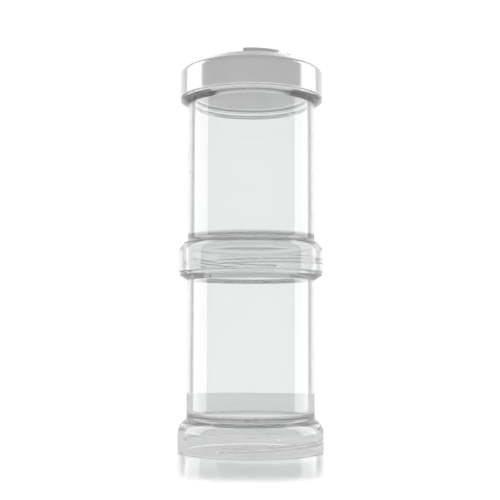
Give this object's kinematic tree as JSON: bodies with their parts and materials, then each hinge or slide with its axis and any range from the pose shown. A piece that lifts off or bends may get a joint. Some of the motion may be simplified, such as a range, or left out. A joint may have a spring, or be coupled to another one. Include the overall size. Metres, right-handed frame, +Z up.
{
  "type": "formula dispenser",
  "caption": "Clear screw-together storage cups stacked under a white domed screw lid, with an open threaded skirt that the stack stands on.",
  "frame": {"origin": "centre of the ring that the stack stands on, at the level of the surface under it", "axes": "+Z up along the screw axis; -Y is the front, from which the first thread ridge begins 28 degrees clockwise seen from above"},
  "size_m": [0.0568, 0.0568, 0.1553],
  "materials": {
    "clear_plastic": "clear, colourless, high gloss",
    "white_plastic": "opaque white, glossy",
    "seal_silicone": "translucent, satin"
  },
  "bodies": {
    "lower": {"lower_container": "clear_plastic", "base_seal": "seal_silicone"},
    "stack_ring": {"stack_seal": "seal_silicone"},
    "upper": {"upper_container": "clear_plastic"},
    "lid_ring": {"lid_seal": "seal_silicone"},
    "lid": {"lid": "white_plastic"}
  },
  "joints": [
    {"name": "upper_rise", "type": "slide", "parent": "lower", "child": "stack_ring", "axis": [0, 0, 1], "range_m": [0, 0.015]},
    {"name": "upper_turn", "type": "hinge", "parent": "stack_ring", "child": "upper", "pos_m": [0, 0, 0.0692], "axis": [0, 0, 1], "range_deg": [0, 1080]},
    {"name": "lid_rise", "type": "slide", "parent": "upper", "child": "lid_ring", "axis": [0, 0, 1], "range_m": [0, 0.015]},
    {"name": "lid_turn", "type": "hinge", "parent": "lid_ring", "child": "lid", "pos_m": [0, 0, 0.1384], "axis": [0, 0, 1], "range_deg": [0, 1080]}
  ],
  "couplings": [
    {"joint": "upper_rise", "follows": "upper_turn", "m_per_rad": 0.00079577},
    {"joint": "lid_rise", "follows": "lid_turn", "m_per_rad": 0.00079577}
  ]
}
